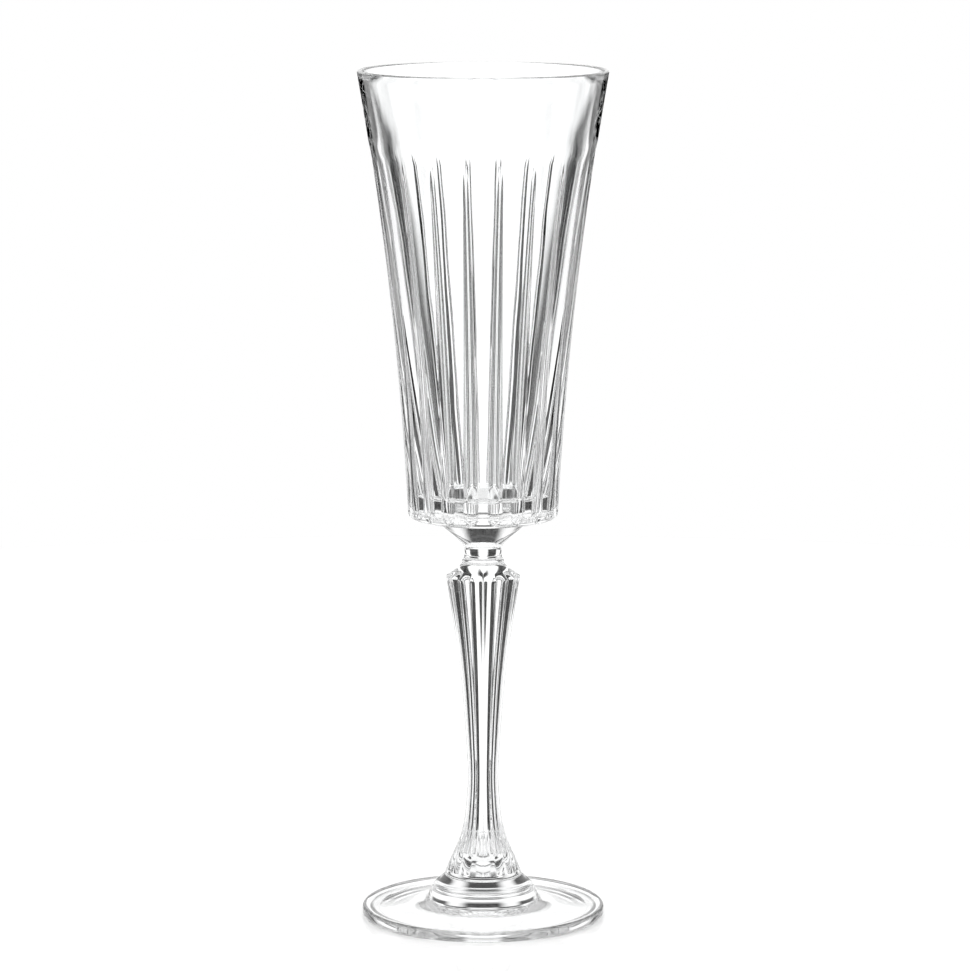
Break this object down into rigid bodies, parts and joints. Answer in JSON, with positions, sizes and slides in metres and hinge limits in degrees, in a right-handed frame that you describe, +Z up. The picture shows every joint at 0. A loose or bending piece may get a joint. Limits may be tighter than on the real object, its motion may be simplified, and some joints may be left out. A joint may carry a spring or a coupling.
{
  "type": "champagne flute",
  "caption": "Tall cut crystal champagne flute: flared bowl with tapered vertical cuts and a plain rim band, ribbed waisted stem, stepped collar and round foot.",
  "frame": {"origin": "centre of the foot's underside, on the surface the flute stands on", "axes": "+Z up along the flute's axis, towards the rim; -Y is the front, where an uncut land of the bowl faces the viewer"},
  "size_m": [0.0658, 0.0658, 0.225],
  "materials": {
    "foot_glass": "clear polished crystal",
    "collar_glass": "clear polished crystal",
    "stem_glass": "clear crystal, ground ribs polished",
    "neck_glass": "clear polished crystal",
    "bowl_glass": "clear crystal, cuts polished"
  },
  "bodies": {
    "root": {"foot": "foot_glass", "foot_collar": "collar_glass", "stem": "stem_glass", "neck_wafer": "neck_glass", "bowl": "bowl_glass"}
  },
  "joints": []
}
